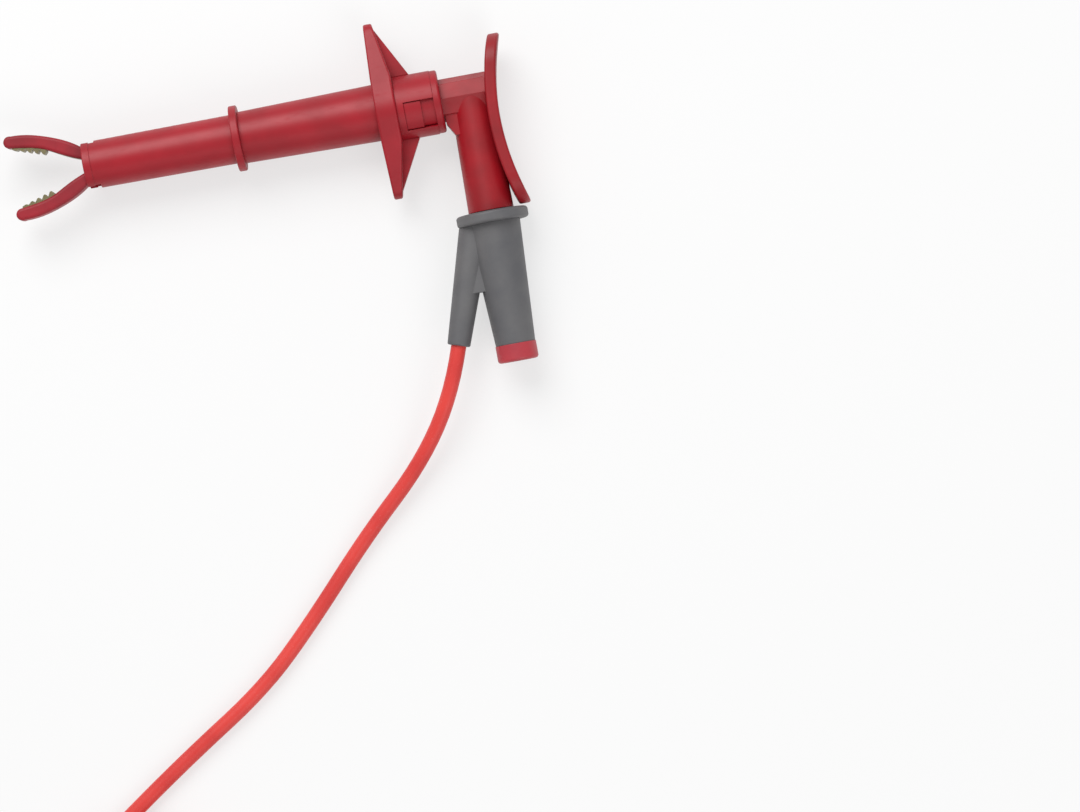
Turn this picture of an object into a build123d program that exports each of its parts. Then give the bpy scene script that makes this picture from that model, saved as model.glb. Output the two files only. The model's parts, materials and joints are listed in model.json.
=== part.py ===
from build123d import *
from math import cos, pi, radians, sin, tan
import os

# Plunger-operated crocodile clip with a right-angle 4 mm safety socket, a stackable safety plug in the socket
# and a test lead. Millimetres. While it is built, X runs along the barrel from the mouth (0) to the thumb,
# Y points to the upper end of the thumb rest and Z up from the table, 0 at the barrel's axis. At the end the
# whole part is moved so that its origin is under the middle of the clip and its plug, on the table.

# Running and seating gaps
slide_gap = 0.25
seat_gap = 0.03
pin_gap = 0.05
table_gap = 0.3

# Front barrel
mouth_radius = 6.2
front_barrel_rear_radius = 6.4
front_barrel_length = 39.3
bore_radius = 5.05
mouth_lip_length = 2.0
mouth_lip_height = 0.2
mouth_slot_depth = 3.4
mouth_slot_width = 5.8
mouth_groove_depth = 7.0
mouth_groove_radius = 5.6
barrier_ring_radius = 8.6
barrier_ring_thickness = 2.0
spigot_radius = 5.75
spigot_length = 9.0

# Rear barrel with its sleeve
rear_barrel_front_radius = 6.75
rear_barrel_rear_radius = 7.4
rear_barrel_length = 35.7
sleeve_radius = 8.35
sleeve_length = 9.8
spring_chamber_radius = 6.0
bulkhead_setback = 15.0
bulkhead_thickness = 2.0
window_length = 7.9
window_width = 7.8
window_turn = 24.0
window_floor_radius = 6.75

# Finger guard
guard_span = 46.2
guard_root_thickness = 5.4
guard_tip_thickness = 2.2
guard_half_height = 9.4
guard_tip_radius = 3.2
guard_sweep = 0.5
guard_edge_round = 0.5
gusset_length = 4.5
gusset_thickness = 2.6
gusset_tip_margin = 1.2

# Rear cap with its latch arms
cap_thickness = 1.9
cap_radius = 8.2
latch_pad_length = 4.4
latch_pad_radius = 8.0
latch_arm_radius = 7.3
latch_side_gap = 0.3

# Return spring and its seat
spring_seat_thickness = 0.8
spring_seat_radius = 5.6
spring_mean_radius = 3.5
spring_wire_radius = 0.3
spring_turns = 7

# Plunger
plunger_travel = 10.0
plunger_radius = 5.6
plunger_sides = 8
plunger_inner_length = 20.2
stop_collar_radius = 5.75
stop_collar_length = 2.0
spring_pocket_radius = 4.3
spring_pocket_depth = 10.0

# Elbow with the safety socket
elbow_gap = 2.2
elbow_top_radius = 5.4
elbow_mouth_radius = 5.95
elbow_mouth_y = -30.3
socket_depth = 20.7
socket_bore_radius = 4.4
elbow_gusset_top_y = -3.0
elbow_gusset_end_y = -9.6
elbow_gusset_width = 7.0

# Contact tubes and insulators of the safety sockets
contact_bore_radius = 2.05
contact_outer_radius = 2.45
insulator_outer_radius = 3.05
contact_recess = 2.0
insulator_recess = 1.5
contact_base_length = 4.0
contact_foot_height = 2.2

# Thumb rest
thumb_arc_radius = 66.0
thumb_standoff = 6.7
thumb_arc_y = -7.0
thumb_plate_thickness = 3.0
thumb_top_y = 14.9
thumb_width = 16.0
thumb_edge_round = 0.6

# Contact rod, jaw carrier and guide bush
rod_radius = 1.5
pivot_x = 5.0
carrier_ear_radius = 1.7
carrier_ear_inner = 1.95
carrier_ear_thickness = 1.45
carrier_slot_x = 8.2
carrier_base_radius = 3.9
carrier_end_x = 12.5
bush_length = 5.0
bush_radius = 4.8
pivot_pin_radius = 0.8
screw_radius = 0.8
screw_length = 6.0
screw_head_radius = 1.8
screw_head_height = 1.0
screw_slot_width = 0.5

# Jaws: lengths are forward of the pivot pin, heights from the clip's middle plane
jaw_close_angle = 17.6
jaw_width = 5.0
jaw_edge_round = 0.8
contact_strip_width = 3.6
contact_strip_thickness = 0.6
jaw_ear_radius = 1.5
jaw_ear_inner = 0.7
grip_curve = [(2.2, 0.9), (6.6, 2.25), (11.0, 4.3), (15.0, 6.3), (19.0, 7.3), (23.3, 7.9)]
back_curve = [(2.4, 2.5), (5.0, 5.0), (9.0, 7.5), (13.0, 9.15), (17.0, 10.35), (22.6, 11.0)]
jaw_nose = (24.7, 9.55)
tooth_start = 14.0
tooth_pitch = 1.75
tooth_count = 5
tooth_crest = 0.4
tooth_valley = 0.35
tooth_meeting_gap = 0.15

# Spring that spreads the jaws
spreader_thickness = 0.3
spreader_width = 1.2
spreader_eye_radius = 0.85
spreader_pinch = (2.3, 0.45)
spreader_leg_end = (5.4, 1.3)

# Stackable safety plug: its own origin is on the pin's axis at the flange's face, +Y towards the pin's tip
flange_radius = 9.4
flange_thickness = 2.9
flange_edge_round = 0.8
shroud_inner_radius = 3.3
shroud_outer_radius = 4.1
shroud_length = 20.0
socket_leg_top_radius = 7.0
socket_leg_end_radius = 5.2
socket_leg_length = 32.0
end_ring_radius = 5.35
end_ring_length = 4.5
end_ring_round = 0.8
cable_leg_top_radius = 4.3
cable_leg_end_radius = 3.0
cable_leg_end_round = 0.5
cable_leg_angle = 18.3
cable_leg_end = (-14.65, -32.8)
crotch_y = -20.2
web_thickness = 6.0
plug_pin_radius = 2.0
plug_pin_shank_radius = 1.7
plug_pin_length = 18.5
plug_pin_neck_radius = 1.45
plug_pin_neck_start = 5.5
plug_pin_neck_length = 9.5
plug_pin_nose = 1.2
lantern_end_radius = 1.92
lantern_middle_radius = 2.02
lantern_wall = 0.25
lantern_slots = 6
lantern_slot_width = 0.7
lantern_slot_margin = 1.6

# Lead: a silicone test lead, its put-away length wound as a round coil
cord_radius = 2.0
coil_centre = (-19.6, -202.3)
coil_turn_radius = 23.0
coil_turns_across = 3
coil_layers = 2
far_plug_leg_end = (13.0, -236.0)

# Places along the barrel
ring_end_x = front_barrel_length + barrier_ring_thickness
spigot_end_x = ring_end_x + spigot_length
guard_x = ring_end_x + rear_barrel_length
guard_end_x = guard_x + guard_root_thickness
bulkhead_x = guard_x - bulkhead_setback
bulkhead_end_x = bulkhead_x + bulkhead_thickness
cap_x = guard_end_x + sleeve_length
cap_end_x = cap_x + cap_thickness
window_front_x = cap_x - window_length
plunger_front_x = cap_x - plunger_inner_length
elbow_x = cap_end_x + elbow_gap + elbow_top_radius
thumb_arc_x = elbow_x + thumb_standoff

cord_diameter = 2 * cord_radius
rest_height = flange_radius
floor_z = -rest_height


def profile(points):
    """A flat face from its corners."""
    return make_face(Polyline(*points, close=True))


def turned(points, axis=Axis.X):
    """A solid of revolution about an axis in the drawing plane."""
    return revolve(profile(points), axis=axis)


def bar_x(radius, start, end, y=0.0):
    """A round bar along X."""
    return Pos((start + end) / 2, y, 0) * Rot(0, 90, 0) * Cylinder(radius, end - start)


def bar_y(radius, start, end, x=0.0):
    """A round bar along Y."""
    return Pos(x, (start + end) / 2, 0) * Rot(90, 0, 0) * Cylinder(radius, end - start)


def block(low, high):
    """A box from its low corner to its high corner."""
    size = [b - a for a, b in zip(low, high)]
    return Pos(*[(a + b) / 2 for a, b in zip(low, high)]) * Box(*size)


def ring_x(inner, outer, start, end):
    """A tube along X."""
    return bar_x(outer, start, end) - bar_x(inner, start, end)


def octagon_bar(radius, start, end):
    """The plunger's eight-sided bar, with an edge on the top."""
    section = RegularPolygon(radius=radius, side_count=plunger_sides)
    return extrude(Plane(origin=(start, 0, 0), z_dir=(1, 0, 0)) * section, amount=end - start)


# Barrel


def make_front_barrel():
    lip = mouth_radius + mouth_lip_height
    barrel = turned(
        [
            (0, bore_radius),
            (0, lip - mouth_lip_height),
            (mouth_lip_height, lip),
            (mouth_lip_length, lip),
            (mouth_lip_length, mouth_radius),
            (front_barrel_length, front_barrel_rear_radius),
            (front_barrel_length, barrier_ring_radius - mouth_lip_height),
            (front_barrel_length + mouth_lip_height, barrier_ring_radius),
            (ring_end_x - mouth_lip_height, barrier_ring_radius),
            (ring_end_x, barrier_ring_radius - mouth_lip_height),
            (ring_end_x, spigot_radius),
            (spigot_end_x, spigot_radius),
            (spigot_end_x, bore_radius),
        ]
    )
    half = mouth_slot_width / 2
    reach = barrier_ring_radius
    slot = block((-1, -reach, -half), (mouth_slot_depth, reach, half))
    groove = block((0, -reach, -half), (mouth_groove_depth, reach, half))
    return barrel - slot - (groove & bar_x(mouth_groove_radius, 0, mouth_groove_depth))


def make_rear_barrel():
    spigot_bore = spigot_radius + seat_gap
    barrel = turned(
        [
            (ring_end_x, spigot_bore),
            (ring_end_x, rear_barrel_front_radius),
            (guard_x, rear_barrel_rear_radius),
            (guard_end_x, rear_barrel_rear_radius),
            (guard_end_x, sleeve_radius),
            (cap_x, sleeve_radius),
            (cap_x, spring_chamber_radius),
            (bulkhead_end_x, spring_chamber_radius),
            (bulkhead_end_x, rod_radius + slide_gap),
            (bulkhead_x, rod_radius + slide_gap),
            (bulkhead_x, bore_radius),
            (spigot_end_x, bore_radius),
            (spigot_end_x, spigot_bore),
        ]
    )
    half = window_width / 2
    band = ring_x(window_floor_radius, sleeve_radius + 1, window_front_x, cap_x)
    channel = block((window_front_x, -half, -2 * sleeve_radius), (cap_x, half, 2 * sleeve_radius))
    return barrel - Rot(window_turn, 0, 0) * (band & channel)


def make_finger_guard():
    half_span = guard_span / 2
    tip_x = guard_x + guard_sweep
    side = profile(
        [
            (guard_x, -sleeve_radius),
            (tip_x, -half_span),
            (tip_x + guard_tip_thickness, -half_span),
            (guard_end_x, -sleeve_radius),
            (guard_end_x, sleeve_radius),
            (tip_x + guard_tip_thickness, half_span),
            (tip_x, half_span),
            (guard_x, sleeve_radius),
        ]
    )
    plate = extrude(side, amount=guard_half_height, both=True)
    tip_y = half_span - guard_tip_radius
    outline = make_hull(
        Circle(guard_half_height).edges()
        + (Pos(tip_y, 0) * Circle(guard_tip_radius)).edges()
        + (Pos(-tip_y, 0) * Circle(guard_tip_radius)).edges()
    )
    front_view = Plane(origin=(guard_x - 1, 0, 0), x_dir=(0, 1, 0), z_dir=(1, 0, 0))
    wings = plate & extrude(front_view * outline, amount=guard_root_thickness + 2)
    wings = fillet(wings.edges(), guard_edge_round)
    for side_of_axis in (-1, 1):
        gusset = profile(
            [
                (tip_x + guard_tip_thickness / 2, side_of_axis * (half_span - gusset_tip_margin)),
                (tip_x + guard_tip_thickness, side_of_axis * (half_span - gusset_tip_margin)),
                (guard_end_x + gusset_length, side_of_axis * sleeve_radius),
                (guard_end_x + gusset_length, side_of_axis * rear_barrel_rear_radius),
                (tip_x + guard_tip_thickness / 2, side_of_axis * rear_barrel_rear_radius),
            ]
        )
        wings += extrude(gusset, amount=gusset_thickness / 2, both=True)
    wings -= bar_x(rear_barrel_rear_radius + seat_gap, guard_x - 1, guard_end_x)
    wings -= bar_x(sleeve_radius + seat_gap, guard_end_x, guard_end_x + 2 * gusset_length)
    return wings


def make_rear_cap():
    cap = bar_x(cap_radius, cap_x, cap_end_x)
    cap = fillet(cap.edges().group_by(Axis.X)[-1], cap_thickness / 3)
    half = window_width / 2 - latch_side_gap
    arm_start = window_front_x + seat_gap
    floor = window_floor_radius + seat_gap
    arm = ring_x(floor, latch_arm_radius, arm_start, cap_x)
    pad = ring_x(floor, latch_pad_radius, arm_start, arm_start + latch_pad_length)
    reach = 2 * sleeve_radius
    arms = (arm + pad) & block((arm_start, -half, -reach), (cap_x, half, reach))
    hole = octagon_bar(plunger_radius + slide_gap, cap_x - 1, cap_end_x + 1)
    return cap + Rot(window_turn, 0, 0) * arms - hole


spring_front_x = bulkhead_end_x + spring_seat_thickness
spring_rear_x = plunger_front_x + spring_pocket_depth


def make_spring_seat():
    return ring_x(rod_radius + slide_gap, spring_seat_radius, bulkhead_end_x, spring_front_x)


def make_return_spring():
    height = spring_rear_x - spring_front_x - 2 * spring_wire_radius
    line = Helix(pitch=height / spring_turns, height=height, radius=spring_mean_radius)
    wire = sweep(Plane(origin=line @ 0, z_dir=line % 0) * Circle(spring_wire_radius), path=line)
    return Pos(spring_front_x + spring_wire_radius, 0, 0) * Rot(0, 90, 0) * wire


# Plunger, elbow and thumb rest

socket_end_y = elbow_mouth_y + socket_depth
contact_foot_y = contact_foot_height
thumb_centre_x = thumb_arc_x + thumb_arc_radius


def thumb_cylinder(radius):
    """A cylinder along Z on the centre of the thumb rest's arc."""
    return Pos(thumb_centre_x, thumb_arc_y, 0) * Cylinder(radius, 4 * thumb_width)


def elbow_cone(margin=0.0):
    """The outside of the elbow's tube, larger by a margin."""
    return turned(
        [
            (0, 0),
            (elbow_top_radius + margin, 0),
            (elbow_mouth_radius + margin, elbow_mouth_y),
            (0, elbow_mouth_y),
        ],
        Axis.Y,
    ).moved(Location((elbow_x, 0, 0)))


def elbow_gusset():
    """The web that fills the corner between the plunger and the elbow's tube."""
    side = profile(
        [
            (cap_end_x + table_gap, elbow_gusset_top_y),
            (elbow_x, elbow_gusset_top_y),
            (elbow_x, elbow_gusset_end_y),
            (elbow_x - elbow_top_radius, elbow_gusset_end_y),
            (cap_end_x + table_gap, (elbow_gusset_top_y + elbow_gusset_end_y) / 2),
        ]
    )
    return extrude(side, amount=elbow_gusset_width / 2, both=True)


def screw_head_x():
    return elbow_x + contact_outer_radius


def make_plunger():
    rear_x = thumb_arc_x
    body = octagon_bar(plunger_radius, plunger_front_x, rear_x)
    collar_end = cap_x - plunger_travel - slide_gap
    body += bar_x(stop_collar_radius, collar_end - stop_collar_length, collar_end)
    body -= thumb_cylinder(thumb_arc_radius + thumb_plate_thickness + seat_gap)
    body += elbow_cone() + elbow_gusset()
    body -= bar_x(spring_pocket_radius, plunger_front_x, spring_rear_x)
    body -= bar_x(rod_radius + seat_gap, spring_rear_x - 1, elbow_x)
    body -= bar_y(socket_bore_radius, elbow_mouth_y - 1, socket_end_y, x=elbow_x)
    body -= bar_y(contact_outer_radius + seat_gap, socket_end_y - 1, contact_foot_y + seat_gap, x=elbow_x)
    body -= bar_x(screw_head_radius + seat_gap, elbow_x, rear_x)
    return body


def make_thumb_rest():
    bottom_y = elbow_mouth_y + table_gap
    outline = Pos((thumb_top_y + bottom_y) / 2, 0) * SlotOverall(thumb_top_y - bottom_y, thumb_width)
    rear_view = Plane(origin=(elbow_x, 0, 0), x_dir=(0, 1, 0), z_dir=(1, 0, 0))
    plate = extrude(rear_view * outline, amount=thumb_arc_radius)
    plate &= thumb_cylinder(thumb_arc_radius + thumb_plate_thickness)
    plate -= thumb_cylinder(thumb_arc_radius)
    plate = fillet(plate.edges(), thumb_edge_round)
    return plate - elbow_cone(seat_gap)


def socket_contact(open_end_y, depth, base_length, x=0.0):
    """A brass contact tube that opens towards -Y, with a solid base above it."""
    end = open_end_y + depth
    body = bar_y(contact_outer_radius, open_end_y + contact_recess, end + base_length, x=x)
    return body - bar_y(contact_bore_radius, open_end_y, end, x=x)


def socket_insulator(open_end_y, depth, x=0.0):
    """The plastic tube round a contact tube."""
    start, end = open_end_y + insulator_recess, open_end_y + depth
    tube = bar_y(insulator_outer_radius, start, end, x=x)
    return tube - bar_y(contact_outer_radius + seat_gap, start, end, x=x)


def make_elbow_contact():
    base_length = contact_foot_y - socket_end_y
    contact = socket_contact(elbow_mouth_y, socket_depth, base_length, x=elbow_x)
    return contact - bar_x(screw_radius + pin_gap, elbow_x - 2 * rod_radius, screw_head_x() + 1)


def make_contact_screw():
    head = bar_x(screw_head_radius, screw_head_x(), screw_head_x() + screw_head_height)
    slot_half = screw_slot_width / 2
    slot_start = screw_head_x() + screw_head_height / 2
    slot = block((slot_start, -2 * screw_head_radius, -slot_half), (slot_start + 1, 2 * screw_head_radius, slot_half))
    return head - slot + bar_x(screw_radius, screw_head_x() - screw_length, screw_head_x())


# Contact rod, jaw carrier, bush, pivot pin and spreader


def make_contact_rod():
    rod = bar_x(rod_radius, carrier_slot_x + 1, elbow_x)
    rod -= bar_y(contact_outer_radius + seat_gap, -elbow_top_radius, elbow_top_radius, x=elbow_x)
    return rod - bar_x(screw_radius + seat_gap, screw_head_x() - screw_length - 1, elbow_x)


def make_jaw_carrier():
    width = 2 * (carrier_ear_inner + carrier_ear_thickness)
    side = Pos(pivot_x, 0) * Circle(carrier_ear_radius)
    side += profile(
        [
            (pivot_x, -carrier_ear_radius),
            (carrier_slot_x + 1, -carrier_ear_radius),
            (carrier_slot_x + 1, carrier_ear_radius),
            (pivot_x, carrier_ear_radius),
        ]
    )
    body = extrude(side, amount=width / 2, both=True)
    body += bar_x(carrier_base_radius, carrier_slot_x, carrier_end_x)
    reach = 2 * carrier_base_radius
    body -= block((0, -reach, -carrier_ear_inner), (carrier_slot_x, reach, carrier_ear_inner))
    body -= Pos(pivot_x, 0, 0) * Cylinder(pivot_pin_radius + seat_gap, 2 * width)
    return body - bar_x(rod_radius + seat_gap, carrier_slot_x + 1, carrier_end_x + 1)


def make_guide_bush():
    start = carrier_end_x + seat_gap
    bush = ring_x(rod_radius + seat_gap, bush_radius, start, start + bush_length)
    return chamfer(bush.edges().filter_by(GeomType.CIRCLE).sort_by(SortBy.RADIUS)[-2:], pin_gap * 8)


def make_pivot_pin():
    length = 2 * (carrier_ear_inner + carrier_ear_thickness)
    return Pos(pivot_x, 0, 0) * Cylinder(pivot_pin_radius, length)


def make_jaw_spreader():
    inner = spreader_eye_radius
    outer = inner + spreader_thickness
    eye = Circle(outer) - Circle(inner)
    eye &= Pos(outer, 0) * Rectangle(2 * outer, 2 * outer)
    legs = Sketch()
    pinch_x, pinch_y = spreader_pinch
    end_x, end_y = spreader_leg_end
    for side in (-1, 1):
        legs += profile(
            [
                (0, side * inner),
                (0, side * outer),
                (-pinch_x, side * (pinch_y + spreader_thickness)),
                (-end_x, side * (end_y + spreader_thickness)),
                (-end_x, side * end_y),
                (-pinch_x, side * pinch_y),
            ]
        )
    return Pos(pivot_x, 0, 0) * extrude(eye + legs, amount=spreader_width / 2, both=True)


# Jaws


def forward(points, rise=0.0):
    """Turns lengths forward of the pivot into places along X."""
    return [(pivot_x - length, height + rise) for length, height in points]


def closing_height(length):
    """Height, in the open jaw, of the plane that the teeth reach when the jaws close."""
    angle = radians(jaw_close_angle)
    return length * tan(angle) + tooth_meeting_gap / cos(angle)


def strip_face():
    """Side view of the upper contact strip with its teeth, and no hinge ear."""
    low = Spline(*forward(grip_curve))
    high = Spline(*forward(grip_curve, contact_strip_thickness))
    return make_face([low, high, Line(low @ 0, high @ 0), Line(low @ 1, high @ 1)])


def teeth_face():
    """Side view of the row of teeth under the strip."""
    grip = Spline(*forward(grip_curve))
    teeth = Sketch()
    for number in range(tooth_count):
        start = tooth_start + number * tooth_pitch
        middle = start + tooth_pitch / 2
        end = start + tooth_pitch
        root = contact_strip_thickness / 2

        def grip_height(length):
            share = (length - grip_curve[0][0]) / (grip_curve[-1][0] - grip_curve[0][0])
            for _ in range(8):
                share += (length - (pivot_x - (grip @ share).X)) / (grip_curve[-1][0] - grip_curve[0][0])
            return (grip @ share).Y

        teeth += profile(
            forward(
                [
                    (start, grip_height(start) + root),
                    (start, grip_height(start) - tooth_valley),
                    (middle - tooth_crest / 2, closing_height(middle - tooth_crest / 2)),
                    (middle + tooth_crest / 2, closing_height(middle + tooth_crest / 2)),
                    (end, grip_height(end) - tooth_valley),
                    (end, grip_height(end) + root),
                ]
            )
        )
    return teeth


def jaw_ear_face():
    """Side view of the hinge ear."""
    ear = Pos(pivot_x, 0) * Circle(jaw_ear_radius)
    first, second = grip_curve[0], grip_curve[1]
    web = [
        (0, jaw_ear_radius),
        (second[0] / 2, (first[1] + second[1]) / 2 + contact_strip_thickness),
        (second[0] / 2, (first[1] + second[1]) / 2),
        first,
        (jaw_ear_radius * 0.9, jaw_ear_radius * 0.43),
    ]
    return ear + profile(forward(web))


def make_jaw_contact(side):
    strip = extrude(strip_face() + teeth_face(), amount=contact_strip_width / 2, both=True)
    ear = extrude(jaw_ear_face(), amount=contact_strip_width / 2 - jaw_ear_inner)
    contact = strip + Pos(0, 0, jaw_ear_inner) * ear
    contact -= Pos(pivot_x, 0, 0) * Cylinder(pivot_pin_radius + pin_gap, 2 * jaw_width)
    return contact if side > 0 else Rot(180, 0, 0) * contact


def make_jaw_cover(side):
    back = Spline(*forward(back_curve))
    grip = Spline(*forward(grip_curve))
    nose = forward([jaw_nose])[0]
    tip = ThreePointArc(back @ 1, nose, grip @ 1)
    root = Line(back @ 0, grip @ 0)
    cover = extrude(make_face([back, tip, grip, root]), amount=jaw_width / 2, both=True)
    cover = fillet(cover.edges().filter_by(Axis.Z, reverse=True), jaw_edge_round)
    cover -= make_jaw_contact(1)
    return cover if side > 0 else Rot(180, 0, 0) * cover


# Stackable safety plug

leg_end_y = -flange_thickness - socket_leg_length
ring_end_y = leg_end_y - end_ring_length
rear_socket_top_y = ring_end_y + socket_depth
plug_contact_top_y = rear_socket_top_y + contact_base_length
cable_way = Vector(-sin(radians(cable_leg_angle)), -cos(radians(cable_leg_angle)), 0)
cable_leg_tip = Vector(cable_leg_end[0], cable_leg_end[1], 0)


def make_plug_flange():
    disc = bar_y(flange_radius, -flange_thickness, 0)
    disc = fillet(disc.edges().filter_by(GeomType.CIRCLE), flange_edge_round)
    disc += bar_y(shroud_outer_radius, -flange_edge_round, shroud_length)
    disc -= bar_y(shroud_inner_radius, 0, shroud_length + 1)
    return disc - bar_y(plug_pin_shank_radius + seat_gap, -flange_thickness - 1, 1)


def make_plug_body():
    leg = turned(
        [
            (0, -flange_thickness),
            (socket_leg_top_radius, -flange_thickness),
            (socket_leg_end_radius, leg_end_y),
            (0, leg_end_y),
        ],
        Axis.Y,
    )
    leg_top = cable_leg_tip - cable_way * (abs(cable_leg_tip.Y) / cos(radians(cable_leg_angle)))
    length = (leg_top - cable_leg_tip).length
    along = Plane(origin=cable_leg_tip, z_dir=cable_way * -1)
    cable_leg = along * Pos(0, 0, length / 2) * Cone(cable_leg_end_radius, cable_leg_top_radius, length)
    cable_leg = fillet(cable_leg.edges().sort_by(Axis.Y)[0], cable_leg_end_round)
    reach = 4 * flange_radius
    cable_leg -= block((-reach, -flange_thickness, -reach), (reach, reach, reach))
    centre_line_x = cable_leg_tip.X + (crotch_y - cable_leg_tip.Y) * tan(radians(cable_leg_angle))
    top_line_x = cable_leg_tip.X + (-flange_thickness - cable_leg_tip.Y) * tan(radians(cable_leg_angle))
    web = profile(
        [
            (top_line_x, -flange_thickness),
            (0, -flange_thickness),
            (0, crotch_y),
            (centre_line_x, crotch_y),
        ]
    )
    body = leg + cable_leg + extrude(web, amount=web_thickness / 2, both=True)
    body -= bar_y(socket_bore_radius, leg_end_y - 1, rear_socket_top_y)
    body -= bar_y(contact_outer_radius + seat_gap, rear_socket_top_y - 1, plug_contact_top_y)
    return body - bar_y(plug_pin_shank_radius + seat_gap, plug_contact_top_y - 1, 0)


def make_end_ring():
    ring = bar_y(end_ring_radius, ring_end_y, leg_end_y)
    ring = fillet(ring.edges().group_by(Axis.Y)[0], end_ring_round)
    return ring - bar_y(socket_bore_radius, ring_end_y - 1, leg_end_y + 1)


def make_plug_pin():
    neck_end = plug_pin_neck_start + plug_pin_neck_length
    return turned(
        [
            (0, plug_contact_top_y),
            (plug_pin_shank_radius, plug_contact_top_y),
            (plug_pin_shank_radius, 0),
            (plug_pin_radius, 0),
            (plug_pin_radius, plug_pin_neck_start),
            (plug_pin_neck_radius, plug_pin_neck_start),
            (plug_pin_neck_radius, neck_end),
            (plug_pin_radius, neck_end),
            (plug_pin_radius, plug_pin_length - plug_pin_nose),
            (plug_pin_radius - plug_pin_nose, plug_pin_length),
            (0, plug_pin_length),
        ],
        Axis.Y,
    )


def make_lantern():
    """The slotted sleeve that bulges between its ends, as far as a socket lets it."""
    start = plug_pin_neck_start + seat_gap
    end = start + plug_pin_neck_length - 2 * seat_gap
    middle = (start + end) / 2
    outside = ThreePointArc((lantern_end_radius, start), (lantern_middle_radius, middle), (lantern_end_radius, end))
    inside = ThreePointArc(
        (lantern_end_radius - lantern_wall, start),
        (lantern_middle_radius - lantern_wall, middle),
        (lantern_end_radius - lantern_wall, end),
    )
    wall = make_face([outside, inside, Line(outside @ 0, inside @ 0), Line(outside @ 1, inside @ 1)])
    sleeve = revolve(wall, axis=Axis.Y)
    half = lantern_slot_width / 2
    slot = block((-half, start + lantern_slot_margin, 0), (half, end - lantern_slot_margin, 2 * plug_pin_radius))
    for number in range(lantern_slots):
        sleeve -= Rot(0, number * 360 / lantern_slots, 0) * slot
    return sleeve


def plug_pieces(name, place):
    """One plug's pieces by node name, set at a place."""
    pieces = {
        "flange": make_plug_flange(),
        "body": make_plug_body(),
        "end_ring": make_end_ring(),
        "pin": make_plug_pin(),
        "lantern_spring": make_lantern(),
        "rear_contact": socket_contact(ring_end_y, socket_depth, contact_base_length),
        "rear_insulator": socket_insulator(ring_end_y, socket_depth),
    }
    return {f"{name}_{piece}": place * solid for piece, solid in pieces.items()}


near_plug_place = Location((elbow_x, elbow_mouth_y - table_gap, 0))
far_plug_origin = (far_plug_leg_end[0] - cable_leg_end[1], far_plug_leg_end[1] + cable_leg_end[0], 0)
far_plug_place = Location(Plane(origin=far_plug_origin, x_dir=(0, -1, 0), z_dir=(0, 0, 1)))

# Lead


def cord_line(points):
    """Straight runs joined by the largest arcs that they allow."""
    runs = [Vector(b) - Vector(a) for a, b in zip(points[:-1], points[1:])]
    radii = []
    for before, after in zip(runs[:-1], runs[1:]):
        shorter = min(before.length, after.length)
        radii.append(0.45 * shorter / tan(radians(before.get_angle(after)) / 2))
    print("cord radii", [round(radius, 1) for radius in radii])
    return FilletPolyline(*points, radius=radii)


def cord_tube(points):
    line = cord_line(points)
    tube = sweep(Plane(origin=line @ 0, z_dir=line % 0) * Circle(cord_radius), path=line)
    print("cord length", round(line.length, 1), "volume ratio", round(tube.volume / (pi * cord_radius**2 * line.length), 4))
    return tube


def above_table(x, y, height):
    """A point of the cord's middle line, by its height over the table."""
    return (x, y, floor_z + height)


plug_exit = Vector(near_plug_place.position) + cable_leg_tip
first_bend = plug_exit + cable_way * (3 * cord_diameter)
near_route = [
    (plug_exit.X, plug_exit.Y, plug_exit.Z),
    (first_bend.X, first_bend.Y, first_bend.Z),
    above_table(72.0, -91.5, 4.6),
    above_table(54.0, -108.0, 2.0),
    above_table(36.0, -127.5, 2.0),
    above_table(20.5, -142.3, 2.0),
    above_table(-1.5, -156.2, 2.0),
    above_table(-21.4, -169.9, 2.0),
    above_table(-35.8, -180.7, 2.0),
]
far_exit_way = Vector(cable_way.Y, -cable_way.X, 0)
far_exit = Vector(far_plug_leg_end[0], far_plug_leg_end[1], 0)
last_bend = far_exit + far_exit_way * (2.5 * cord_diameter)
far_route = [
    above_table(-19.6, -229.3, 6.0),
    above_table(-7.6, -230.3, 4.0),
    (last_bend.X, last_bend.Y, last_bend.Z),
    (far_exit.X, far_exit.Y, far_exit.Z),
]


def make_coil():
    half_width = coil_turns_across * cord_radius
    height = coil_layers * cord_diameter
    section = RectangleRounded(2 * half_width, height, cord_radius * 0.95)
    upright = Plane(origin=(coil_turn_radius, 0, height / 2), x_dir=(1, 0, 0), z_dir=(0, -1, 0))
    ring = revolve(upright * section, axis=Axis.Z)
    return Pos(coil_centre[0], coil_centre[1], floor_z) * ring


clip = {
    "front_barrel": make_front_barrel(),
    "rear_barrel": make_rear_barrel(),
    "finger_guard": make_finger_guard(),
    "rear_cap": make_rear_cap(),
    "spring_seat": make_spring_seat(),
    "return_spring": make_return_spring(),
    "plunger": make_plunger(),
    "thumb_rest": make_thumb_rest(),
    "contact_rod": make_contact_rod(),
    "jaw_carrier": make_jaw_carrier(),
    "guide_bush": make_guide_bush(),
    "jaw_pivot_pin": make_pivot_pin(),
    "jaw_spreader": make_jaw_spreader(),
    "socket_insulator": socket_insulator(elbow_mouth_y, socket_depth, x=elbow_x),
    "socket_contact": make_elbow_contact(),
    "contact_screw": make_contact_screw(),
    "upper_jaw_cover": make_jaw_cover(1),
    "upper_jaw_contact": make_jaw_contact(1),
    "lower_jaw_cover": make_jaw_cover(-1),
    "lower_jaw_contact": make_jaw_contact(-1),
}
clip.update(plug_pieces("plug", near_plug_place))

coil = make_coil()
lead = {
    "lead_cord": cord_tube(near_route) - coil,
    "lead_coil": coil,
    "lead_tail": cord_tube(far_route) - coil,
}
lead.update(plug_pieces("far_plug", far_plug_place))

box = Compound(children=[Part() + piece for piece in clip.values()]).bounding_box()
to_origin = Pos(-box.center().X, -box.center().Y, -floor_z)

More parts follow.
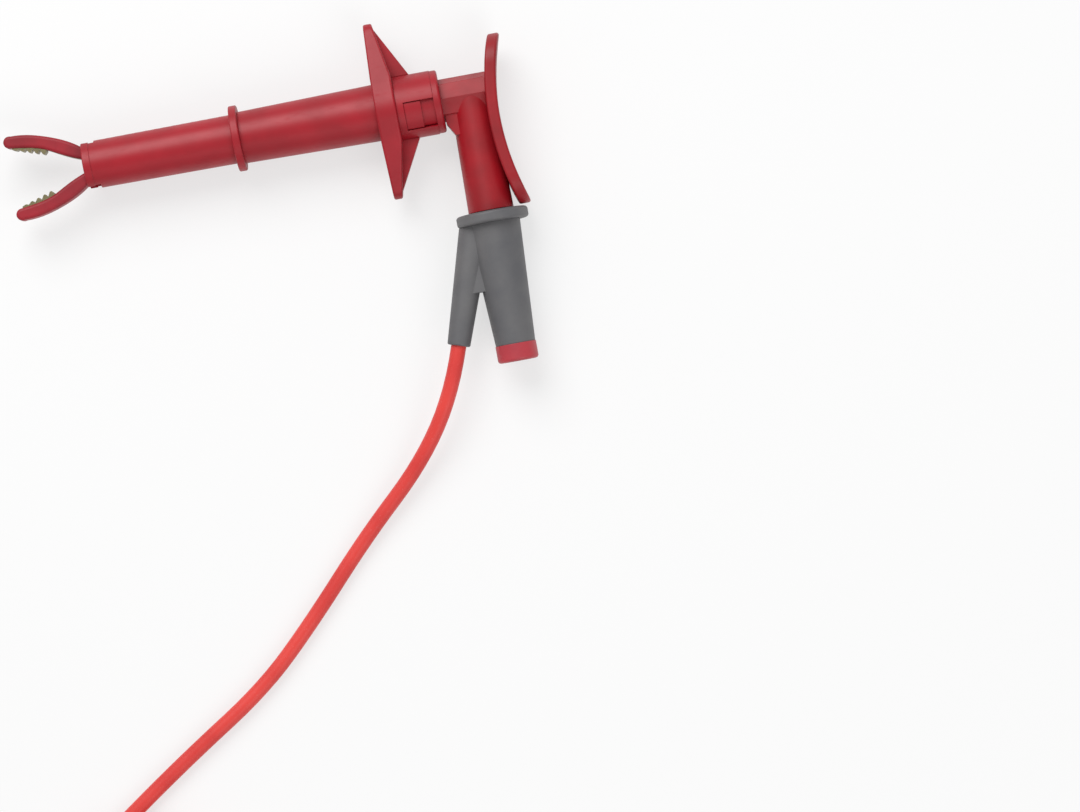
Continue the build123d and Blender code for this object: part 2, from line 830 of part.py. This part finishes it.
os.makedirs("parts", exist_ok=True)
for node, solid in {**clip, **lead}.items():
    export_step(to_origin * solid, f"parts/{node}.step")
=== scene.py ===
import json
import math

import bpy
from mathutils import Matrix, Vector


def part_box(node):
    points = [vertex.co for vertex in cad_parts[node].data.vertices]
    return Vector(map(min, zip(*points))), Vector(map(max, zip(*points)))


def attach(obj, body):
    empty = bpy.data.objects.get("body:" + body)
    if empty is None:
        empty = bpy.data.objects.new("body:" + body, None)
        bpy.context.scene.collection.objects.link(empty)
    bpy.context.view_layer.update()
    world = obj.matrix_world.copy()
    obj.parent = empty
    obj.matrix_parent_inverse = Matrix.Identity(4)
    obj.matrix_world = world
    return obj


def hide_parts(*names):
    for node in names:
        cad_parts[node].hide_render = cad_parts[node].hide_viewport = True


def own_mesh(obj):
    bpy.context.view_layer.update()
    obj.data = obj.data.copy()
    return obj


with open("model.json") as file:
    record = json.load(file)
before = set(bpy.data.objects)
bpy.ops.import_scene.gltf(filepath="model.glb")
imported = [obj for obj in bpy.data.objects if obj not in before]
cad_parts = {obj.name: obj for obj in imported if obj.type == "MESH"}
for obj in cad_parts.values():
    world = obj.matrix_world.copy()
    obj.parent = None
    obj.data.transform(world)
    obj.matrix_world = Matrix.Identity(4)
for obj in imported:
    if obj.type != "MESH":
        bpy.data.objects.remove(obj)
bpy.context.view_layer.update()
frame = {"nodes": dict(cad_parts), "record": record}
nodes = frame["nodes"]

# Places in the frame, in metres. Lengths back from the barrel's mouth run along X.
barrel_low, barrel_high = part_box("front_barrel")
mouth_x = barrel_low.x
axis_y = (barrel_low.y + barrel_high.y) / 2
axis_z = (barrel_low.z + barrel_high.z) / 2
millimetre = 0.001


def from_mouth(x, y, height):
    """A point given from the middle of the barrel's mouth, with its height over the table."""
    return Vector((mouth_x + x, axis_y + y, height))


# Camera: straight above the clip, turned so that the barrel rises to the right as in the photograph
photo_width = 1080
photo_scale = 0.26 * millimetre
photo_middle = from_mouth(0.1050, -0.0826, axis_z)
photo_turn = math.radians(-10.4)
camera_height = 0.9
sensor_width = 36.0


def make_camera():
    data = bpy.data.cameras.new("camera")
    data.sensor_width = sensor_width
    data.lens = sensor_width * camera_height / (photo_width * photo_scale)
    data.clip_start = 0.01
    data.clip_end = 10.0
    camera = bpy.data.objects.new("camera", data)
    bpy.context.scene.collection.objects.link(camera)
    camera.location = photo_middle + Vector((0, 0, camera_height))
    camera.rotation_euler = (0, 0, photo_turn)
    bpy.context.scene.camera = camera


def toward_camera(right, up, height):
    """A place given by how far it is right and up in the picture from its middle, and its height."""
    turn = Matrix.Rotation(photo_turn, 3, "Z")
    across = turn @ Vector((right, up, 0))
    return Vector((photo_middle.x + across.x, photo_middle.y + across.y, height))


# Colours and materials


def srgb(red, green, blue):
    """A colour written from 0 to 255, as linear values."""

    def linear(value):
        share = value / 255
        return share / 12.92 if share <= 0.04045 else ((share + 0.055) / 1.055) ** 2.4

    return (linear(red), linear(green), linear(blue), 1.0)


class Graph:
    """A material with its nodes, built up from small steps."""

    def __init__(self, name):
        self.material = bpy.data.materials.new(name)
        self.material.use_nodes = True
        self.tree = self.material.node_tree
        self.tree.nodes.clear()
        self.shader = self.add("ShaderNodeBsdfPrincipled")
        output = self.add("ShaderNodeOutputMaterial")
        self.link(self.shader.outputs["BSDF"], output.inputs["Surface"])
        self.place = self.add("ShaderNodeTexCoord").outputs["Object"]

    def add(self, kind, **settings):
        node = self.tree.nodes.new(kind)
        for name, value in settings.items():
            setattr(node, name, value)
        return node

    def link(self, source, target):
        self.tree.links.new(source, target)

    def fill(self, socket, value):
        if isinstance(value, bpy.types.NodeSocket):
            self.link(value, socket)
        else:
            socket.default_value = value

    def set(self, **inputs):
        """Sets or links the shader's sockets. An underscore in a name stands for a space."""
        for name, value in inputs.items():
            self.fill(self.shader.inputs[name.replace("_", " ")], value)

    def stretched(self, scale):
        """Object coordinates stretched by a scale for each axis."""
        mapping = self.add("ShaderNodeMapping")
        self.link(self.place, mapping.inputs["Vector"])
        mapping.inputs["Scale"].default_value = scale
        return mapping.outputs["Vector"]

    def noise(self, size, detail=2.0, roughness=0.5, place=None):
        """Noise whose features are about size metres across."""
        texture = self.add("ShaderNodeTexNoise")
        self.link(place or self.place, texture.inputs["Vector"])
        texture.inputs["Scale"].default_value = 1 / size
        texture.inputs["Detail"].default_value = detail
        texture.inputs["Roughness"].default_value = roughness
        return texture.outputs["Fac"]

    def level_distance(self, height):
        """Distance above or below a height over the table."""
        parts = self.add("ShaderNodeSeparateXYZ")
        self.link(self.place, parts.inputs["Vector"])
        return self.math("ABSOLUTE", self.math("SUBTRACT", parts.outputs["Z"], height), 0.0)

    def span(self, value, low, high, to_low=0.0, to_high=1.0):
        """Maps low to high of a value to another range, clamped."""
        node = self.add("ShaderNodeMapRange")
        self.fill(node.inputs["Value"], value)
        limits = {"From Min": low, "From Max": high, "To Min": to_low, "To Max": to_high}
        for name, number in limits.items():
            node.inputs[name].default_value = number
        return node.outputs["Result"]

    def math(self, operation, first, second):
        node = self.add("ShaderNodeMath", operation=operation)
        self.fill(node.inputs[0], first)
        self.fill(node.inputs[1], second)
        return node.outputs["Value"]

    def mix(self, factor, first, second):
        """Mixes two colours."""
        node = self.add("ShaderNodeMix", data_type="RGBA")
        self.fill(node.inputs[0], factor)
        self.fill(node.inputs[6], first)
        self.fill(node.inputs[7], second)
        return node.outputs[2]

    def edges(self, radius, softest=0.97, hardest=0.7):
        """The rounded normal, and a mask of the edges from 0 to 1."""
        bevel = self.add("ShaderNodeBevel", samples=6)
        bevel.inputs["Radius"].default_value = radius
        flat = self.add("ShaderNodeNewGeometry").outputs["Normal"]
        compare = self.add("ShaderNodeVectorMath", operation="DOT_PRODUCT")
        self.link(bevel.outputs["Normal"], compare.inputs[0])
        self.link(flat, compare.inputs[1])
        return bevel.outputs["Normal"], self.span(compare.outputs["Value"], softest, hardest)

    def bump(self, height, depth, normal=None):
        """A bump of depth metres."""
        node = self.add("ShaderNodeBump")
        node.inputs["Distance"].default_value = depth
        node.inputs["Strength"].default_value = 1.0
        self.link(height, node.inputs["Height"])
        if normal is not None:
            self.link(normal, node.inputs["Normal"])
        return node.outputs["Normal"]


def moulded(name, base, shade, rubbed, roughness, grain, grain_depth, wear=0.5, **shader):
    """Moulded plastic: slightly uneven colour, a fine grain, rounded and rubbed edges, and faint scuffs.
    A thin raised line shows where the two halves of the mould met, level with the barrel's axis."""
    edge_radius = 0.25 * millimetre
    cloud_size = 9 * millimetre
    patch_size = 3 * millimetre
    streak_size = 1.2 * millimetre
    streak_stretch = (0.25, 1, 1)
    speck_size = 0.5 * millimetre
    seam_half_width = 0.12 * millimetre
    seam_height = 0.03 * millimetre

    graph = Graph(name)
    rounded, edge = graph.edges(edge_radius)
    cloud = graph.span(graph.noise(cloud_size, detail=3.0), low=0.35, high=0.7)
    colour = graph.mix(cloud, base, shade)
    speck = graph.span(graph.noise(speck_size, detail=2.0), low=0.3, high=0.7, to_high=0.18)
    colour = graph.mix(speck, colour, shade)
    patches = graph.span(graph.noise(patch_size, detail=4.0), low=0.4, high=0.62)
    worn = graph.math("MULTIPLY", graph.math("MULTIPLY", edge, patches), wear)
    colour = graph.mix(worn, colour, rubbed)
    streaks = graph.noise(streak_size, detail=5.0, roughness=0.7, place=graph.stretched(streak_stretch))
    scuffs = graph.span(streaks, low=0.56, high=0.72, to_high=0.16)
    matt = graph.span(cloud, low=0.0, high=1.0, to_low=roughness, to_high=roughness + 0.06)
    skin = graph.noise(grain, detail=3.0, roughness=0.6)
    seam = graph.span(graph.level_distance(axis_z), low=0.0, high=seam_half_width, to_low=1.0, to_high=0.0)
    graph.set(
        Base_Color=colour,
        Roughness=graph.math("ADD", matt, scuffs),
        Normal=graph.bump(seam, seam_height, graph.bump(skin, grain_depth, rounded)),
        **shader,
    )
    return graph.material


def metal(name, base, tarnish, roughness, brushed=(1, 1, 1), stain=0.4):
    """Metal with fine machining lines, a thin uneven tarnish and edges rubbed bright."""
    edge_radius = 0.12 * millimetre
    cloud_size = 2.5 * millimetre
    line_size = 0.12 * millimetre
    line_depth = 0.004 * millimetre
    bright_edge = (1.0, 0.98, 0.94, 1.0)
    bright_share = 0.35

    graph = Graph(name)
    rounded, edge = graph.edges(edge_radius)
    cloud = graph.noise(cloud_size, detail=4.0, roughness=0.65)
    cloud = graph.span(cloud, low=0.42, high=0.68, to_high=stain)
    colour = graph.mix(cloud, base, tarnish)
    colour = graph.mix(graph.math("MULTIPLY", edge, bright_share), colour, bright_edge)
    lines = graph.noise(line_size, detail=2.0, place=graph.stretched(brushed))
    gloss = graph.span(lines, low=0.3, high=0.7, to_low=roughness - 0.06, to_high=roughness + 0.1)
    graph.set(
        Base_Color=colour,
        Metallic=1.0,
        Roughness=graph.math("ADD", gloss, graph.math("MULTIPLY", cloud, 0.3)),
        Normal=graph.bump(lines, line_depth, rounded),
    )
    return graph.material


def silicone(name, base, shade, dust):
    """Soft silicone rubber: matt with a faint sheen, fine dust and a slightly wavy skin."""
    cloud_size = 14 * millimetre
    dust_size = 0.35 * millimetre
    wave_size = 1.6 * millimetre
    wave_depth = 0.03 * millimetre
    grain_size = 0.12 * millimetre
    grain_depth = 0.012 * millimetre

    graph = Graph(name)
    cloud = graph.span(graph.noise(cloud_size, detail=2.0), low=0.35, high=0.65)
    colour = graph.mix(cloud, base, shade)
    dusty = graph.noise(dust_size, detail=4.0, roughness=0.7)
    colour = graph.mix(graph.span(dusty, low=0.62, high=0.74, to_high=0.35), colour, dust)
    wavy = graph.bump(graph.noise(wave_size, detail=2.0), wave_depth)
    graph.set(
        Base_Color=colour,
        Roughness=graph.span(cloud, low=0.0, high=1.0, to_low=0.5, to_high=0.6),
        Normal=graph.bump(graph.noise(grain_size, detail=3.0), grain_depth, wavy),
        Sheen_Weight=0.25,
        Sheen_Roughness=0.4,
        Subsurface_Weight=0.08,
        Subsurface_Radius=(0.0012, 0.0004, 0.0003),
    )
    return graph.material


clip_finish = {
    "roughness": 0.42,
    "grain": 0.16 * millimetre,
    "grain_depth": 0.007 * millimetre,
    "Specular_IOR_Level": 0.42,
    "Coat_Weight": 0.06,
    "Coat_Roughness": 0.36,
}
plastics = {
    "clip_red": dict(
        base=srgb(166, 15, 33),
        shade=srgb(150, 12, 28),
        rubbed=srgb(206, 84, 88),
        **clip_finish,
    ),
    "plunger_red": dict(
        base=srgb(163, 17, 30),
        shade=srgb(138, 12, 23),
        rubbed=srgb(204, 80, 84),
        **clip_finish,
    ),
    "jaw_red": dict(
        base=srgb(164, 30, 44),
        shade=srgb(132, 24, 36),
        rubbed=srgb(196, 96, 98),
        roughness=0.46,
        grain=0.2 * millimetre,
        grain_depth=0.01 * millimetre,
        wear=0.7,
        Specular_IOR_Level=0.36,
    ),
    "plug_grey": dict(
        base=srgb(104, 103, 104),
        shade=srgb(91, 91, 94),
        rubbed=srgb(158, 156, 156),
        roughness=0.52,
        grain=0.22 * millimetre,
        grain_depth=0.014 * millimetre,
    ),
    "ring_red": dict(
        base=srgb(190, 62, 70),
        shade=srgb(168, 48, 60),
        rubbed=srgb(214, 120, 120),
        roughness=0.42,
        grain=0.2 * millimetre,
        grain_depth=0.01 * millimetre,
    ),
    "inner_plastic": dict(
        base=srgb(150, 20, 30),
        shade=srgb(120, 14, 22),
        rubbed=srgb(180, 70, 76),
        roughness=0.45,
        grain=0.2 * millimetre,
        grain_depth=0.008 * millimetre,
    ),
    "bush_white": dict(
        base=srgb(226, 224, 216),
        shade=srgb(208, 204, 194),
        rubbed=srgb(238, 236, 230),
        roughness=0.4,
        grain=0.2 * millimetre,
        grain_depth=0.006 * millimetre,
    ),
}
metals = {
    "jaw_metal": dict(
        base=srgb(136, 128, 98),
        tarnish=srgb(88, 82, 62),
        roughness=0.36,
        brushed=(1, 0.3, 1),
    ),
    "brass": dict(
        base=srgb(214, 190, 132),
        tarnish=srgb(122, 104, 66),
        roughness=0.3,
        brushed=(1, 0.15, 1),
    ),
    "steel": dict(
        base=srgb(196, 197, 200),
        tarnish=srgb(120, 118, 114),
        roughness=0.26,
        brushed=(0.2, 1, 1),
        stain=0.25,
    ),
}
lead_colours = {
    "base": srgb(226, 62, 54),
    "shade": srgb(212, 51, 46),
    "dust": srgb(232, 190, 184),
}


def make_materials():
    """The materials by the record's slot names."""
    made = {name: moulded(name, **look) for name, look in plastics.items()}
    made.update({name: metal(name, **look) for name, look in metals.items()})
    made["silicone"] = silicone("silicone", **lead_colours)
    return made


def dress(materials):
    """Gives each CAD node the material of its slot in the record."""
    slots = {row["node"]: row["material_slot"] for row in frame["record"]["subparts"]}
    for name, node in nodes.items():
        node.data.materials.clear()
        node.data.materials.append(materials[slots[name]])


# Lead: one cord from the plug through the coil to the far plug, in lengths from the barrel's mouth

cord_diameter = 4.0 * millimetre
lead_exit = (0.08705, -0.0634, 0.0094)
near_route = [
    lead_exit,
    (0.083283, -0.074793, 0.0094),
    (0.0720, -0.0915, 0.0046),
    (0.0540, -0.1080, 0.0020),
    (0.0360, -0.1275, 0.0020),
    (0.0205, -0.1423, 0.0020),
    (-0.0015, -0.1562, 0.0020),
    (-0.0214, -0.1699, 0.0020),
    (-0.0358, -0.1807, 0.0020),
]
far_route = [
    (-0.0076, -0.2303, 0.0040),
    (0.003506, -0.23286, 0.0094),
    (0.0130, -0.2360, 0.0094),
]
coil_centre = (-0.0196, -0.2023)
coil_radii = (0.027, 0.023, 0.019)
coil_heights = (0.0020, 0.0060)
coil_leaves_at = math.radians(270)
coil_points_per_turn = 24
full_turn = 2 * math.pi


def eased(share):
    """0 to 1 with a soft start and end."""
    share = min(max(share, 0.0), 1.0)
    return share * share * (3 - 2 * share)


def coil_points():
    """The coil's turns, counter-clockwise from where the cord meets them. The cord steps inwards on the
    lower layer, climbs just before that step, and steps outwards on the upper layer before the climb."""
    enter = math.atan2(near_route[-1][1] - coil_centre[1], near_route[-1][0] - coil_centre[0])
    outer, middle, inner = coil_radii
    lower, upper = coil_heights
    step_share = 0.12
    first_inward = 1 - step_share
    second_inward = 2 - step_share
    climb = 3 - 2 * step_share
    first_outward = 4 - 3 * step_share
    second_outward = 5 - 3 * step_share
    turns = 5 + (coil_leaves_at - enter) / full_turn
    count = round(turns * coil_points_per_turn)
    # The spline runs this share of the way out to its control points
    reached = 0.75 + 0.25 * math.cos(full_turn / coil_points_per_turn)
    points = []
    for number in range(1, count + 1):
        turn = turns * number / count
        radius = outer
        radius -= (outer - middle) * eased((turn - first_inward) / step_share)
        radius -= (middle - inner) * eased((turn - second_inward) / step_share)
        radius += (middle - inner) * eased((turn - first_outward) / step_share)
        radius += (outer - middle) * eased((turn - second_outward) / step_share)
        height = lower + (upper - lower) * eased((turn - climb) / step_share)
        angle = enter + full_turn * turn
        x = coil_centre[0] + radius / reached * math.cos(angle)
        y = coil_centre[1] + radius / reached * math.sin(angle)
        points.append((x, y, height))
    return points


def make_lead(material):
    """One smooth cord with the far plug on it. It moves with the near plug."""
    data = bpy.data.curves.new("test_lead", "CURVE")
    data.dimensions = "3D"
    data.bevel_depth = cord_diameter / 2
    data.bevel_resolution = 8
    data.resolution_u = 6
    data.use_fill_caps = True
    spline = data.splines.new("NURBS")
    points = [from_mouth(*point) for point in near_route + coil_points() + far_route]
    spline.points.add(len(points) - 1)
    for point, place in zip(spline.points, points):
        point.co = (*place, 1.0)
    spline.order_u = 3
    spline.use_endpoint_u = True
    data.materials.append(material)
    lead = bpy.data.objects.new("test_lead", data)
    bpy.context.scene.collection.objects.link(lead)
    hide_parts("lead_cord", "lead_coil", "lead_tail")
    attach(lead, "plug")
    return lead


# Spring that spreads the jaws


def make_spreading_spring(material):
    """A copy of the spring's solid, with its own material, which moves with the plunger."""
    spring = bpy.data.objects.new("spreading_spring", nodes["jaw_spreader"].data.copy())
    bpy.context.scene.collection.objects.link(spring)
    spring.data.materials.clear()
    spring.data.materials.append(material)
    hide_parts("jaw_spreader")
    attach(spring, "plunger")
    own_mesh(spring)


# Floor and lights

floor_size = 4.0
floor_grey = 0.86
floor_white_share = 0.62
world_strength = 0.46


def make_floor():
    """A plain pale floor. Seen directly, in a mirror or through glass it is mixed with plain white."""
    mesh = bpy.data.meshes.new("floor")
    half = floor_size / 2
    corners = [(-half, -half, 0), (half, -half, 0), (half, half, 0), (-half, half, 0)]
    mesh.from_pydata(corners, [], [(0, 1, 2, 3)])
    floor = bpy.data.objects.new("floor", mesh)
    bpy.context.scene.collection.objects.link(floor)

    material = bpy.data.materials.new("floor")
    material.use_nodes = True
    tree = material.node_tree
    tree.nodes.clear()
    paper = tree.nodes.new("ShaderNodeBsdfDiffuse")
    paper.inputs["Color"].default_value = (floor_grey, floor_grey, floor_grey, 1)
    white = tree.nodes.new("ShaderNodeEmission")
    white.inputs["Color"].default_value = (1, 1, 1, 1)
    seen = tree.nodes.new("ShaderNodeMixShader")
    seen.inputs["Fac"].default_value = floor_white_share
    tree.links.new(paper.outputs["BSDF"], seen.inputs[1])
    tree.links.new(white.outputs["Emission"], seen.inputs[2])

    path = tree.nodes.new("ShaderNodeLightPath")
    direct = tree.nodes.new("ShaderNodeMath")
    direct.operation = "MAXIMUM"
    tree.links.new(path.outputs["Is Camera Ray"], direct.inputs[0])
    tree.links.new(path.outputs["Is Glossy Ray"], direct.inputs[1])
    visible = tree.nodes.new("ShaderNodeMath")
    visible.operation = "MAXIMUM"
    tree.links.new(direct.outputs["Value"], visible.inputs[0])
    tree.links.new(path.outputs["Is Transmission Ray"], visible.inputs[1])
    choice = tree.nodes.new("ShaderNodeMixShader")
    tree.links.new(visible.outputs["Value"], choice.inputs["Fac"])
    tree.links.new(paper.outputs["BSDF"], choice.inputs[1])
    tree.links.new(seen.outputs["Shader"], choice.inputs[2])
    output = tree.nodes.new("ShaderNodeOutputMaterial")
    tree.links.new(choice.outputs["Shader"], output.inputs["Surface"])
    mesh.materials.append(material)


def make_lamp(name, place, size, power):
    """A round soft lamp, aimed at the middle of the picture."""
    data = bpy.data.lights.new(name, "AREA")
    data.shape = "DISK"
    data.size = size
    data.energy = power
    lamp = bpy.data.objects.new(name, data)
    bpy.context.scene.collection.objects.link(lamp)
    lamp.location = place
    aim = toward_camera(0, 0, 0)
    lamp.rotation_euler = (aim - place).to_track_quat("-Z", "Y").to_euler()


def make_light():
    make_lamp("key_lamp", toward_camera(-0.4, 0.75, 0.9), size=0.9, power=10.4)
    make_lamp("fill_lamp", toward_camera(0.5, -0.7, 0.9), size=0.9, power=4.4)
    world = bpy.data.worlds.new("studio")
    bpy.context.scene.world = world
    world.use_nodes = True
    background = world.node_tree.nodes["Background"]
    background.inputs["Color"].default_value = (1, 1, 1, 1)
    background.inputs["Strength"].default_value = world_strength


make_camera()
materials = make_materials()
dress(materials)
make_lead(materials["silicone"])
make_spreading_spring(materials["steel"])
make_floor()
make_light()
bpy.context.scene.view_settings.view_transform = "Standard"
